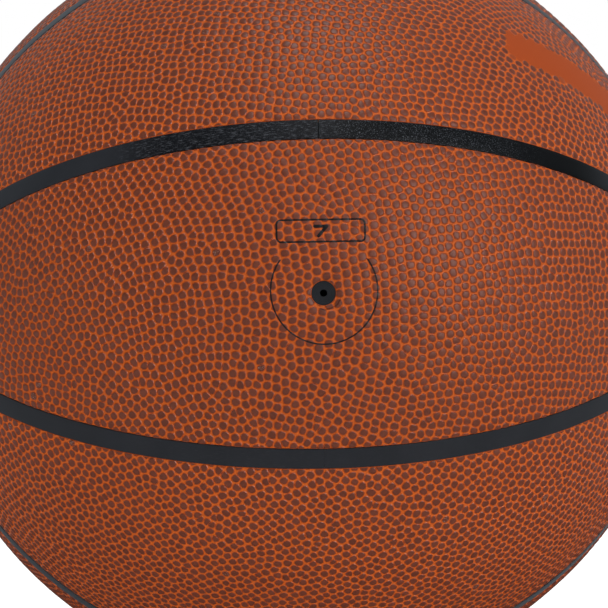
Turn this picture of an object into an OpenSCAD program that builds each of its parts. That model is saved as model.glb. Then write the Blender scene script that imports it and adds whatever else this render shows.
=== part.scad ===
// Inflated eight-panel ball of laminated build, full size.
// The origin is the ball's centre, +Z is up, the valve looks along -Y and the
// seams meet on the X axis.

/* [Ball] */
// Diameter over the cover
ball_d = 240; // [232:1:246]

/* [Wall] */
// Thickness of the pebbled cover
cover_t = 1.5; // [1.2:0.1:2]
// Thickness of the sponge pad under each cover panel
pad_t = 1; // [0.8:0.1:1.5]
// Thickness of the moulded rubber carcass
carcass_t = 1; // [0.8:0.1:1.5]
// Thickness of the wound thread layer
winding_t = 0.5; // [0.4:0.1:0.9]
// Thickness of the bladder
bladder_t = 0.75; // [0.6:0.05:1.1]
// Thickness of the cement between two layers
cement_t = 0.1; // [0.05:0.05:0.2]

/* [Seams] */
// Width of the black seam strips
seam_w = 6.0; // [4.4:0.2:7]
// How far the face of a strip lies below the cover
seam_drop = 0.2; // [0.1:0.05:0.6]
// Clearance between a strip and the panels beside it
seam_clear = 0.1; // [0.05:0.05:0.2]
// Gap where two strip ends butt
butt_gap = 0.15; // [0.1:0.05:0.3]
// Angle from the ring seam to a loop seam's straight run
run_angle = 45.8; // [44:0.2:47]
// Angle from the seam crossing to where a loop seam starts to turn
turn_start = 40; // [36:1:44]

/* [Valve] */
// Diameter of the valve plug's round face
plug_head_d = 6.8; // [6:0.1:8]
// Thickness of the plug's head
plug_head_t = 0.8; // [0.6:0.05:0.9]
// Diameter of the plug's body
plug_body_d = 4.4; // [4:0.1:5]
// Length of the plug below its head
plug_body_l = 15; // [13:0.5:18]
// Diameter of the bulb that locks behind the seat
plug_bulb_d = 5.4; // [5.2:0.1:6]
// Length of the bulb
plug_bulb_l = 3; // [2.5:0.1:4]
// Diameter of the needle hole
needle_d = 2; // [1.8:0.1:2.4]
// Length of the needle hole
needle_l = 12; // [10:0.5:12.5]
// Width of the sealing slit across the plug's closed end
slit_w = 0.1; // [0.05:0.05:0.2]
// Clearance round the plug
plug_clear = 0.05; // [0.02:0.01:0.1]
// Diameter of the seat's neck
neck_d = 9; // [8:0.2:11]
// Diameter of the seat's flange
flange_d = 26; // [22:0.5:30]
// Thickness of the seat's flange
flange_t = 1.2; // [1:0.1:1.6]
// Diameter of the patch between the flange and the bladder
patch_d = 38; // [34:1:46]
// Thickness of the patch
patch_t = 0.8; // [0.6:0.1:1.2]
// Clearance round the neck in the layers that it passes through
neck_clear = 0.1; // [0.05:0.05:0.3]

/* [Hidden] */
$fn = 160;

// Overrun of every cutting shape past the face that it cuts
overrun = 1;

// Radii of the layers, from the cover inwards
ball_r = ball_d / 2;
cover_in = ball_r - cover_t;
pad_out = cover_in - cement_t;
pad_in = pad_out - pad_t;
carcass_out = pad_in - cement_t;
carcass_in = carcass_out - carcass_t;
winding_out = carcass_in - cement_t;
winding_in = winding_out - winding_t;
bladder_out = winding_in - cement_t;
bladder_in = bladder_out - bladder_t;
patch_out = bladder_in - cement_t;
patch_in = patch_out - patch_t;
flange_out = patch_in - cement_t;
flange_in = flange_out - flange_t;

// A strip stands on the carcass, between the pads and the panels
strip_in = carcass_out + cement_t;
strip_out = ball_r - seam_drop;
groove_half = seam_w / 2 + seam_clear;

// The loop seam follows a great circle, tilted by cross_angle from the cross seam,
// and turns on a small circle of turn_radius degrees that touches both its runs
cross_angle = 90 - run_angle;
turn_radius = atan(sin(turn_start) * tan(cross_angle));
turn_centre = acos(cos(turn_start) * cos(turn_radius));
// How far a turn stands proud of the runs where it touches them
turn_lap = 0.05;
// Nearest and farthest reach of a loop's shapes, as shares of the ball's radius
loop_low_share = 0.3;
turn_low_share = 0.6;
loop_high_share = 1.1;

// The neck ends just under the cover. The head of the plug sits on it, in the
// hole of the cover.
neck_top = sqrt(pow(cover_in, 2) - pow(neck_d / 2, 2)) - plug_clear;
head_bed = neck_top + plug_clear;
head_face = head_bed + plug_head_t;
bulb_top = head_bed - plug_body_l + plug_bulb_l;
seat_bottom = bulb_top + plug_clear;

panel_colour = "#b4562c";
strip_colour = "#24262a";

// From the seams' own frame, where the ring seam is level, to the ball's frame
module tilt_seams() {
    rotate([run_angle / 2, 0, 0]) children();
}

// Along the valve's axis, with height measured from the ball's centre
module along_valve() {
    rotate([90, 0, 0]) children();
}

// Hollow ball
module shell(outer, inner) {
    difference() {
        sphere(r = outer);
        sphere(r = inner);
    }
}

// What a hollow ball shares with another shape
module shell_part(outer, inner) {
    intersection() {
        shell(outer, inner);
        children();
    }
}

// Turn of a loop at the right-hand end: the cone through its small circle, moved
// outwards by side
module turn_cone(side) {
    low = turn_low_share * ball_r;
    high = loop_high_share * ball_r;
    spread = (side + turn_lap) / cos(turn_radius);
    rotate([0, 90 - turn_centre, 0]) translate([0, 0, low])
        cylinder(h = high - low, r1 = low * tan(turn_radius) + spread, r2 = high * tan(turn_radius) + spread);
}

// Bar along X with a section that widens with height from the ball's centre:
// slope is the half width per unit of height and spread is added to it
module widening_bar(slope, spread) {
    low = loop_low_share * ball_r;
    high = loop_high_share * ball_r;
    rotate([90, 0, 90]) linear_extrude(4 * ball_r, center = true)
        polygon([[-low * slope - spread, low], [low * slope + spread, low],
                 [high * slope + spread, high], [-high * slope - spread, high]]);
}

// Inside of the upper loop, moved outwards by side: the wedge between its runs,
// closed by its turns
module loop_inside(side) {
    turn_cone(side);
    mirror([1, 0, 0]) turn_cone(side);
    intersection() {
        widening_bar(tan(cross_angle), side / cos(cross_angle));
        rotate([0, 0, 90])
            widening_bar(1 / tan(turn_start) / cos(cross_angle), side * tan(cross_angle) / tan(turn_start));
    }
}

// The front top quarter of the seams' frame, kept clear of the ring seam and the
// cross seam
module front_quarter(ring_clear, cross_clear) {
    translate([-ball_d, -ball_d, ring_clear]) cube([2 * ball_d, ball_d - cross_clear, ball_d]);
}

// Long panel blank, between the ring seam and the upper loop, at the front
module long_blank(outer, inner) {
    difference() {
        shell_part(outer, inner) front_quarter(groove_half, groove_half);
        loop_inside(groove_half);
    }
}

// Short panel blank, inside the upper loop, in front of the cross seam
module short_blank(outer, inner) {
    intersection() {
        shell_part(outer, inner) front_quarter(0, groove_half);
        loop_inside(-groove_half);
    }
}

// Places a front top blank in one of the four quarters of the seams' frame
module in_quarter(back, low) {
    tilt_seams() mirror([0, back, 0]) mirror([0, 0, low]) children();
}

module cover_long(back, low) {
    color(panel_colour) in_quarter(back, low) long_blank(ball_r, cover_in);
}

module cover_short(back, low) {
    color(panel_colour) in_quarter(back, low) short_blank(ball_r, cover_in);
}

module pad_long(back, low) {
    color("wheat") in_quarter(back, low) long_blank(pad_out, pad_in);
}

module pad_short(back, low) {
    color("wheat") in_quarter(back, low) short_blank(pad_out, pad_in);
}

// Hole for the neck in a layer
module neck_hole() {
    along_valve() cylinder(h = ball_d, d = neck_d + 2 * neck_clear);
}

module bladder() {
    color("dimgray") difference() {
        shell(bladder_out, bladder_in);
        neck_hole();
    }
}

// Disc bent to the ball, with a hole for the neck
module bent_disc(outer, inner, width) {
    shell_part(outer, inner)
        along_valve() translate([0, 0, outer / 2]) cylinder(h = outer, d = width);
}

module bladder_patch() {
    color("gray") difference() {
        bent_disc(patch_out, patch_in, patch_d);
        neck_hole();
    }
}

module valve_seat() {
    color("darkslategray") difference() {
        union() {
            bent_disc(flange_out, flange_in, flange_d);
            along_valve() translate([0, 0, seat_bottom]) cylinder(h = neck_top - seat_bottom, d = neck_d);
        }
        along_valve() translate([0, 0, seat_bottom - overrun])
            cylinder(h = neck_top - seat_bottom + 2 * overrun, d = plug_body_d + 2 * plug_clear);
    }
}

module valve_plug() {
    body_end = head_bed - plug_body_l;
    color(strip_colour) along_valve() difference() {
        union() {
            translate([0, 0, head_bed]) cylinder(h = plug_head_t, d = plug_head_d);
            translate([0, 0, bulb_top - plug_bulb_l / 2])
                cylinder(h = head_bed - bulb_top + plug_bulb_l / 2, d = plug_body_d);
            translate([0, 0, body_end]) cylinder(h = plug_bulb_l, d1 = plug_body_d, d2 = plug_bulb_d);
        }
        translate([0, 0, head_face - needle_l]) cylinder(h = needle_l + overrun, d = needle_d);
        translate([-slit_w / 2, -needle_d / 2, body_end - overrun])
            cube([slit_w, needle_d, head_face - needle_l - body_end + 2 * overrun]);
    }
}

module thread_winding() {
    color("ivory") difference() {
        shell(winding_out, winding_in);
        neck_hole();
    }
}

module rubber_carcass() {
    color("darkslategray") difference() {
        shell(carcass_out, carcass_in);
        neck_hole();
    }
}

// Slot across the middle of a strip's front, where its ends butt
module butt_slot() {
    translate([-butt_gap / 2, -ball_d, -ball_r]) cube([butt_gap, ball_d, ball_d]);
}

// Slab of a strip's width in the level plane
module ring_slab() {
    translate([-ball_d, -ball_d, -seam_w / 2]) cube([2 * ball_d, 2 * ball_d, seam_w]);
}

// Ring strip, cut to length, with its butt joint at the front
module ring_strip() {
    color(strip_colour) tilt_seams() difference() {
        shell_part(strip_out, strip_in) ring_slab();
        butt_slot();
    }
}

// Loop strip, with its butt joint in the middle of its front run
module loop_strip() {
    difference() {
        shell_part(strip_out, strip_in) loop_inside(seam_w / 2);
        loop_inside(-seam_w / 2);
        butt_slot();
    }
}

module loop_strip_high() {
    color(strip_colour) tilt_seams() loop_strip();
}

module loop_strip_low() {
    color(strip_colour) tilt_seams() mirror([0, 0, 1]) loop_strip();
}

// Slab of a strip's width on the cross seam, from a height above the level plane
module cross_slab(ring_clear) {
    translate([-ball_d, -seam_w / 2, ring_clear]) cube([2 * ball_d, seam_w, ball_d]);
}

// Strip on the cross seam inside the upper loop
module cross_strip() {
    intersection() {
        shell_part(strip_out, strip_in) cross_slab(0);
        loop_inside(-seam_w / 2 - butt_gap);
    }
}

// Strip on the cross seam from the ring strip to the upper loop, at the right
module stub_strip() {
    difference() {
        shell_part(strip_out, strip_in) intersection() {
            cross_slab(seam_w / 2 + butt_gap);
            translate([0, -ball_d, 0]) cube([ball_d, 2 * ball_d, ball_d]);
        }
        loop_inside(seam_w / 2 + butt_gap);
    }
}

module cross_strip_high() {
    color(strip_colour) tilt_seams() cross_strip();
}

module cross_strip_low() {
    color(strip_colour) tilt_seams() mirror([0, 0, 1]) cross_strip();
}

module stub_strip_right_high() {
    color(strip_colour) tilt_seams() stub_strip();
}

module stub_strip_right_low() {
    color(strip_colour) tilt_seams() mirror([0, 0, 1]) stub_strip();
}

module stub_strip_left_high() {
    color(strip_colour) tilt_seams() mirror([1, 0, 0]) stub_strip();
}

module stub_strip_left_low() {
    color(strip_colour) tilt_seams() mirror([1, 0, 0]) mirror([0, 0, 1]) stub_strip();
}

module pad_front() {
    difference() {
        pad_long(0, 0);
        neck_hole();
    }
}

module panel_front() {
    difference() {
        cover_long(0, 0);
        along_valve() translate([0, 0, cover_in / 2]) cylinder(h = ball_r, d = plug_head_d + 2 * plug_clear);
    }
}

module pad_front_high() pad_short(0, 0);
module pad_top() pad_short(1, 0);
module pad_back_high() pad_long(1, 0);
module pad_back() pad_long(1, 1);
module pad_back_low() pad_short(1, 1);
module pad_bottom() pad_short(0, 1);
module pad_front_low() pad_long(0, 1);

module panel_front_high() cover_short(0, 0);
module panel_top() cover_short(1, 0);
module panel_back_high() cover_long(1, 0);
module panel_back() cover_long(1, 1);
module panel_back_low() cover_short(1, 1);
module panel_bottom() cover_short(0, 1);
module panel_front_low() cover_long(0, 1);

bladder();
bladder_patch();
valve_seat();
valve_plug();
thread_winding();
rubber_carcass();
ring_strip();
loop_strip_high();
loop_strip_low();
cross_strip_high();
cross_strip_low();
stub_strip_right_high();
stub_strip_right_low();
stub_strip_left_high();
stub_strip_left_low();
pad_front();
pad_front_high();
pad_top();
pad_back_high();
pad_back();
pad_back_low();
pad_bottom();
pad_front_low();
panel_front();
panel_front_high();
panel_top();
panel_back_high();
panel_back();
panel_back_low();
panel_bottom();
panel_front_low();
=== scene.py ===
"""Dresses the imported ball: a pebbled cover in eight panels, black seam strips, the valve and the layers
inside.

Lengths are in metres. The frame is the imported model's: the origin is the ball's centre, +Z is up and the
valve looks along -Y."""
from functools import partialmethod
from math import acos, atan, atan2, cos, pi, radians, sin, sqrt, tan
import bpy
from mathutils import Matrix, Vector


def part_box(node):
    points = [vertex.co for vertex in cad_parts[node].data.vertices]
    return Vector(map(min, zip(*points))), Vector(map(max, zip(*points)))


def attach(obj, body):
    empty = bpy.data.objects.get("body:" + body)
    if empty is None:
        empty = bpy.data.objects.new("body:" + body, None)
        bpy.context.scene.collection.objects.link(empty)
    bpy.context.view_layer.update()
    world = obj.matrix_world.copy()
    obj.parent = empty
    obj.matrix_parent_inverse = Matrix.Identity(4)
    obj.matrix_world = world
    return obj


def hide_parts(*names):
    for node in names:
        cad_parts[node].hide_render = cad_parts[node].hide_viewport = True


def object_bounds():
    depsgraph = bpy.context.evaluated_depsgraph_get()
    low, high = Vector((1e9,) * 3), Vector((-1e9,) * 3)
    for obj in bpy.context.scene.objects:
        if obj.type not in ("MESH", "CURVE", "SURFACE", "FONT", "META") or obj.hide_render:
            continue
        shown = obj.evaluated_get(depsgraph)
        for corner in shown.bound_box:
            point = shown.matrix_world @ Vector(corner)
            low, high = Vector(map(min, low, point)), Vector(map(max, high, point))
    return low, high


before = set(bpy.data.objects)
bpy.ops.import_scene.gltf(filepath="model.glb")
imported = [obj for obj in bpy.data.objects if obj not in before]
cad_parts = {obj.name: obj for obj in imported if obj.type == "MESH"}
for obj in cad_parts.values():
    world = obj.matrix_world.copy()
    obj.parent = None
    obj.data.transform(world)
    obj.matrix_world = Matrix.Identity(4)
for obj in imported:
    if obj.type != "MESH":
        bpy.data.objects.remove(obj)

from types import SimpleNamespace

import bpy
import numpy as np
from mathutils import Matrix, Vector
from mathutils.geometry import delaunay_2d_cdt
from numpy import concatenate as join, stack

MM = 0.001
cad_low, cad_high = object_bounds()

# The ball and its seams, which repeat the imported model's sizes
BALL_R = (cad_high.z - cad_low.z) / 2
COVER_IN = BALL_R - 1.5 * MM
STRIP_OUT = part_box("ring_strip")[1].x
STRIP_IN = BALL_R - 2.6 * MM
SEAM_W = 6.0 * MM
GROOVE_HALF = SEAM_W / 2 + 0.1 * MM
BUTT_GAP = 0.15 * MM
RUN_ANGLE = radians(45.8)
TURN_START = radians(40)
CROSS_ANGLE = pi / 2 - RUN_ANGLE
TURN_R = atan(sin(TURN_START) * tan(CROSS_ANGLE))
TURN_CENTRE = acos(cos(TURN_START) * cos(TURN_R))

# The butt joints at the front as the photograph shows them: the ring's nearly shut, the loop's more open
RING_GAP = 0.09 * MM
LOOP_GAP = 0.34 * MM

# Where the worn strip's rubbing ends along X. The streaks fade out beyond their end, the specks and the
# rubbed tone before theirs.
STREAKS_END, STREAKS_FADE = -44 * MM, 18 * MM
SPECKS_END, SPECKS_FADE = 72 * MM, 28 * MM
RUBBED_END, RUBBED_FADE = 100 * MM, 24 * MM

# A streak's length and width, a speck's size, and between which places along X the specks take over
STREAK_L, STREAK_W = 1.9 * MM, 0.3 * MM
SPECK_SIZE = 0.3 * MM
SPECKS_BEGIN = (1 * MM, 9 * MM)

# Steps along the seams: points on half a run and on a turn of a loop, and the angle between others
RUN_STEPS = 34
TURN_STEPS = 80
SEAM_STEP = radians(1.5)
STRIP_PROFILE_STEPS = 5

# The valve
VALVE_FACE = -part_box("valve_plug")[0].y
VALVE_END = -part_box("valve_plug")[1].y
VALVE_HEAD_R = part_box("valve_plug")[1].x
VALVE_HEAD_T = 0.8 * MM
VALVE_BODY_R = 2.2 * MM
VALVE_BULB_R = 2.7 * MM
VALVE_BULB_L = 3 * MM
NEEDLE_R = 1 * MM
NEEDLE_L = 12 * MM
HOLE_R = VALVE_HEAD_R + 0.05 * MM

# The pebbles' net: area of a cell, points round a pebble, how square pebbles are, how far their sites are
# shaken, how far beyond a panel's edges sites and pebbles are laid before the edges are cut, and the least
# cosine of a site's angle from the panel's middle
PEBBLE_AREA = 6.4 * MM ** 2
PEBBLE_SIDES = 10
PEBBLE_SQUARENESS = 4.8
SITE_SHAKE = 0.22
SITE_MARGIN = 9 * MM
PEBBLE_MARGIN = 2.4 * MM
SITE_COSINE = -0.3
GOLDEN_ANGLE = pi * (3 - sqrt(5))

# A pebble: half width of the valley at its top and at its foot, the least radii of rim and foot as shares
# of the cell's, how far rim, foot and valley lie below the top, how far the normals lean out, the normals'
# tilt, and the share of it that the shape has
VALLEY_TOP = 0.5 * MM
VALLEY_FOOT = 0.17 * MM
LEAST_RIM = 0.5
LEAST_FOOT = 0.78
RIM_DROP = 0.03 * MM
FOOT_DROP = 0.17 * MM
VALLEY_DROP = 0.21 * MM
RIM_LEAN = 0.15
FOOT_LEAN = 1.5
PEBBLE_TILT = 0.035
TILT_SHARE = 0.5

# Radii on the uv of a round pebble: rim, foot, corners of the cell, and the walls, which have no pebbles.
# Then between which radii the top's brown ends, the foot's painted shade ends, and the shine rises and
# ends.
RIM_PLACE = 0.8
FOOT_PLACE = 1
CORNER_PLACE = 1.35
WALL_PLACE = 1.1
WALL_TONE = 0.5
TOP_ENDS = (0.86, 0.91)
SHADE_ENDS = (0.92, 1.1)
SHINE_RISES = (0.86, 0.92)
SHINE_ENDS = (1.0, 1.1)

# How the cover rolls down at a seam, dishes round the valve, wavers along its edges and swells
EDGE_ROLL = 0.14 * MM
EDGE_DROP = 0.22 * MM
EDGE_REACH = 1.3 * MM
DISH_DROP = 0.7 * MM
DISH_REACH = 2.4 * MM
WAVER, WAVER_PITCH, WAVER_SEED = 0.06 * MM, 14 * MM, 5
SWELL, SWELL_PITCH, SWELL_SEED = 0.03 * MM, 17 * MM, 11
PANEL_SEED = 100

# Rows of a panel's side wall: way out from the face's edge, depth below it (None is down to the inner face)
# and lean of the normals
WALL_ROWS = ((0.55 * EDGE_ROLL, 0.04 * MM, 0.8), (EDGE_ROLL, 0.2 * MM, 3), (EDGE_ROLL, None, 9))

# Step over which slopes are measured, distance under which two edges count as equally near, the weight
# that keeps the wrong side of the ball out, and the pitch and margin of the inner face's net
PROBE = 0.05 * MM
NEARLY = 0.02 * MM
WRONG_SIDE = 1e3
LINING_PITCH = 7 * MM
LINING_MARGIN = 3 * MM

# The bare patch on the panel above the valve's: longitude and angle of its middle, half sizes, corners,
# slant, width of its edge and depth below the pebbles' tops
BARE_MIDDLE = (radians(40.5), radians(69.3))
BARE_HALF_L = 24 * MM
BARE_HALF_W = 6.3 * MM
BARE_CORNER_R = 2.5 * MM
BARE_SLANT = radians(6)
BARE_EDGE = 0.5 * MM
BARE_DROP = FOOT_DROP * 0.7

# The print round the valve: an open ring, and a frame with a numeral above it. Places are X and Z.
PRINT_LINE = 0.55 * MM
PRINT_RING_LINE = 0.45 * MM
PRINT_RING_R = 15 * MM
PRINT_RING_MIDDLE = (0.2 * MM, 0.7 * MM)
PRINT_RING_OPEN = 9.4 * MM
PRINT_RING_FADE = 0.3 * MM
PRINT_FRAME_MIDDLE = (-0.4 * MM, 17.5 * MM)
PRINT_FRAME_HALF = (12.4 * MM, 3.1 * MM)
PRINT_FRAME_CORNER = 1.3 * MM
PRINT_SEVEN = ((-1.7 * MM, 1.25 * MM), (1.7 * MM, 1.25 * MM), (-0.7 * MM, -1.5 * MM))
PRINT_SEVEN_W = 0.9 * MM
PRINT_EDGE = 0.06 * MM

# The crease in the leather below the valve: radius, half width, depth, the way its middle lies, how far it
# wanders over which length, and between which cosines from its middle it begins
FOLD_R = 4.7 * MM
FOLD_HALF_W = 0.32 * MM
FOLD_DEPTH = 0.3 * MM
FOLD_WAY = radians(-62)
FOLD_WANDER = 0.9 * MM
FOLD_WANDER_L = 2.5 * MM
FOLD_BEGINS = (0.6, 0.85)

# The bake map: its scale, where the right and the left half of a panel start, and the inner face's scale
# and middle
MAP_SCALE = 4.8
MAP_RIGHT = (0.01, 0.24)
MAP_LEFT = (0.01, 0.72)
MAP_LINING_SCALE = 0.4
MAP_LINING = (0.2, 0.98)

# The share of the pebbles that have no flecks, a strand's pitch in the winding, and the period of the wave
# texture at scale 1
UNFLECKED = 0.995
THREAD_PITCH = 1.2 * MM
WAVE_PERIOD = 0.31

# How strongly each finish mirrors when seen straight on; 0.5 is 4%
LEATHER_GLOSS = 0.25
RUBBER_GLOSS = 0.07

# Each panel's shape, and on which side of the seams' frame it lies: 1 front or high, -1 back or low
PANELS = {
    "panel_front": ("long", 1, 1), "panel_front_high": ("short", 1, 1),
    "panel_top": ("short", -1, 1), "panel_back_high": ("long", -1, 1),
    "panel_back": ("long", -1, -1), "panel_back_low": ("short", -1, -1),
    "panel_bottom": ("short", 1, -1), "panel_front_low": ("long", 1, -1),
}


def unit(points):
    return points / np.linalg.norm(points, axis=-1, keepdims=True)


def about_x(angle):
    """Matrix that turns row vectors about X by minus the angle, and by the angle when it is transposed."""
    c, s = cos(angle), sin(angle)
    return np.array([[1, 0, 0], [0, c, -s], [0, s, c]])


SEAM_TURN = about_x(RUN_ANGLE / 2)


def to_seams(points):
    return points @ SEAM_TURN


def from_seams(points):
    return points @ SEAM_TURN.T


def beyond_loop(seam_points):
    """Distance outwards from the middle line of a loop seam: beside a run to the run's plane through the
    ball's centre, and round a turn to the cone through the turn's small circle."""
    x, y, z = np.abs(seam_points).T
    run = y * cos(CROSS_ANGLE) - z * sin(CROSS_ANGLE)
    along = x * cos(TURN_CENTRE) + z * sin(TURN_CENTRE)
    off = np.sqrt(np.maximum(x * x + y * y + z * z - along ** 2, 0))
    turn = off * cos(TURN_R) - along * sin(TURN_R)
    return np.where(x * tan(TURN_START) * cos(CROSS_ANGLE) < z, run, turn)


def waves(points, pitch, seed):
    """Sum of eight sine waves across space, each about pitch long in its own direction, scaled to about
    -1 to 1."""
    rng = np.random.default_rng(seed)
    ways = unit(rng.normal(size=(8, 3))) * rng.uniform(0.7, 1.4, (8, 1)) * 2 * pi / pitch
    return np.sin(points @ ways.T + rng.uniform(0, 2 * pi, 8)).sum(1) / 4


def middle_angle(name):
    """Angle of a panel's middle round the X axis from the ring seam."""
    return RUN_ANGLE / 2 if PANELS[name][0] == "long" else (RUN_ANGLE + pi / 2) / 2


def panel_middle(name):
    """Direction of a panel's middle."""
    _, front, high = PANELS[name]
    angle = middle_angle(name)
    return from_seams(np.array([0, -cos(angle) * front, sin(angle) * high]))


def edge_distances(points, name):
    """Distances inwards from the edges of a panel, one row per edge. The edges waver a little, as cut
    ones do."""
    shape, front, high = PANELS[name]
    seam = to_seams(points) * (1, front, high)
    rows = [-seam[:, 1]]
    if shape == "long":
        rows += [seam[:, 2], beyond_loop(seam)]
    else:
        rows += [-beyond_loop(seam) + WRONG_SIDE * np.minimum(seam[:, 2], 0)]
    wavering = WAVER * (1 + waves(points, WAVER_PITCH, WAVER_SEED)) / 2
    rows = [row - GROOVE_HALF - wavering for row in rows]
    if name == "panel_front":
        behind = WRONG_SIDE * np.maximum(points[:, 1], 0)
        rows += [np.hypot(points[:, 0], points[:, 2]) - HOLE_R + behind]
    return np.array(rows)


def cover_drop(points, name):
    """How far the cover's pebbles lie below the ball's radius: a square-law roll at each edge, a
    square-law dish round the valve, and a slow swell."""
    edge = edge_distances(points, name)[:3].min(0)
    rolled = np.clip(1 - (edge - EDGE_ROLL) / EDGE_REACH, 0, 1) ** 2
    swollen = SWELL * (1 + np.clip(waves(points, SWELL_PITCH, SWELL_SEED), -1, 1))
    if name != "panel_front":
        return EDGE_DROP * rolled + swollen
    off = np.where(points[:, 1] < 0, np.hypot(points[:, 0], points[:, 2]), BALL_R)
    dished = np.clip(1 - (off - HOLE_R) / DISH_REACH, 0, 1) ** 2
    return EDGE_DROP * rolled + swollen + DISH_DROP * dished


def bare_share(points, name):
    """1 inside the bare patch, a rounded rectangle laid on the panel, and 0 outside it."""
    if name != "panel_front_high":
        return np.zeros(len(points))
    longitude, angle = BARE_MIDDLE
    middle = from_seams(np.array([sin(longitude), -cos(longitude) * cos(angle),
                                  cos(longitude) * sin(angle)]))
    along = unit(from_seams(np.array([1.0, 0, 0])) - middle * sin(longitude))
    across = np.cross(middle, along)
    along, across = (along * cos(BARE_SLANT) + across * sin(BARE_SLANT),
                     across * cos(BARE_SLANT) - along * sin(BARE_SLANT))
    past_l = np.abs(points @ along) - BARE_HALF_L + BARE_CORNER_R
    past_w = np.abs(points @ across) - BARE_HALF_W + BARE_CORNER_R
    off = np.hypot(np.maximum(past_l, 0), np.maximum(past_w, 0)) - BARE_CORNER_R
    near = points @ middle > 0
    return near * np.clip(0.5 - off / BARE_EDGE, 0, 1)


def tangents(directions):
    """Two unit vectors square to each direction and to each other; seen from outside, the second is a
    quarter turn counterclockwise from the first."""
    pole = np.where(np.abs(directions[:, 2:]) < 0.9, [[0, 0, 1.0]], [[1.0, 0, 0]])
    east = unit(np.cross(pole, directions))
    return east, np.cross(directions, east)


def flat_map(directions, centre):
    """Stereographic map from the point opposite centre. It keeps circles, so the flat Delaunay net is the
    ball's."""
    east, north = tangents(centre[None])
    return stack([directions @ east[0], directions @ north[0]], 1) / (1 + directions @ centre)[:, None]


def delaunay(flat, sides=()):
    """Triangles of the flat points, counterclockwise, that keep the given sides."""
    made = delaunay_2d_cdt([Vector(p) for p in flat.tolist()], list(sides), [], 0, 1e-10)
    faces = np.array(made[2])
    a, b, c = flat[faces.T]
    turned = (b - a)[:, 0] * (c - a)[:, 1] < (b - a)[:, 1] * (c - a)[:, 0]
    faces[turned] = faces[turned][:, ::-1]
    return faces


def cell_corners(sites, net):
    """The direction as far from each of a triangle's three sites: the normal of their plane."""
    a, b, c = sites[net.T]
    return unit(np.cross(b - a, c - a))


def fibonacci(area):
    """Directions that share the ball evenly, one for each area. Of n, number i stands at height
    1 - (2i + 1) / n and turns by the golden angle each time."""
    count = round(4 * pi * BALL_R ** 2 / area)
    height = 1 - (2 * np.arange(count) + 1) / count
    angle = GOLDEN_ANGLE * np.arange(count)
    flat = np.sqrt(1 - height ** 2)
    return stack([flat * np.cos(angle), flat * np.sin(angle), height], 1)


def pebble_sites(name, centre, rng):
    """Middles of a panel's pebbles: a Fibonacci lattice, turned at random and shaken. Then each site moves
    twice to the mean of its cell's corners, weighted by the areas of their triangles, which evens the cells
    out."""
    sites = fibonacci(PEBBLE_AREA) @ np.linalg.qr(rng.normal(size=(3, 3)))[0]
    sites = unit(sites + rng.normal(size=sites.shape) * SITE_SHAKE * sqrt(PEBBLE_AREA) / BALL_R)
    sites = sites[edge_distances(sites * BALL_R, name)[:3].min(0) > -SITE_MARGIN]
    sites = sites[sites @ centre > SITE_COSINE]
    for _ in range(2):
        net = delaunay(flat_map(sites, centre))
        a, b, c = sites[net.T]
        weight = np.repeat(np.linalg.norm(np.cross(b - a, c - a), axis=1), 3)
        pull = np.repeat(cell_corners(sites, net), 3, 0) * weight[:, None]
        moved = unit(stack([np.bincount(net.ravel(), pull[:, k], len(sites)) for k in range(3)], 1))
        close = np.linalg.norm(moved - sites, axis=1) < sqrt(PEBBLE_AREA) / BALL_R
        sites[close] = moved[close]
    return sites


def face_sides(faces):
    return join([faces[:, [0, 1]], faces[:, [1, 2]], faces[:, [2, 0]]])


def ring_radii(sites, net, chosen, east, north, angles):
    """Radius of each chosen pebble's cell, rounded, along each angle: the power mean of the distances to
    the lines halfway to its neighbours, so the shape lies between the cell's polygon and a circle."""
    order = np.full(len(sites), -1)
    order[chosen] = np.arange(len(chosen))
    pairs = face_sides(net)
    pairs = pairs[order[pairs[:, 0]] >= 0]
    row = order[pairs[:, 0]]
    gap = (sites[pairs[:, 1]] - sites[pairs[:, 0]]) * BALL_R
    x, y = (gap * east[row]).sum(1), (gap * north[row]).sum(1)
    half = np.hypot(x, y)[:, None] / 2
    facing = np.maximum(np.cos(angles[row] - np.arctan2(y, x)[:, None]), 0)
    total = np.zeros((len(chosen), angles.shape[1]))
    np.add.at(total, row, (facing / half) ** PEBBLE_SQUARENESS)
    return total ** (-1 / PEBBLE_SQUARENESS)


def triangles(*corners):
    """Faces and their uv from three corners, each given as the points' numbers and their places."""
    return [stack(parts, 1) for parts in zip(*corners)]


def spot(radius, angle):
    """Place on the uv of a round pebble."""
    return stack([radius * np.cos(angle), radius * np.sin(angle)], 1)


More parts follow.
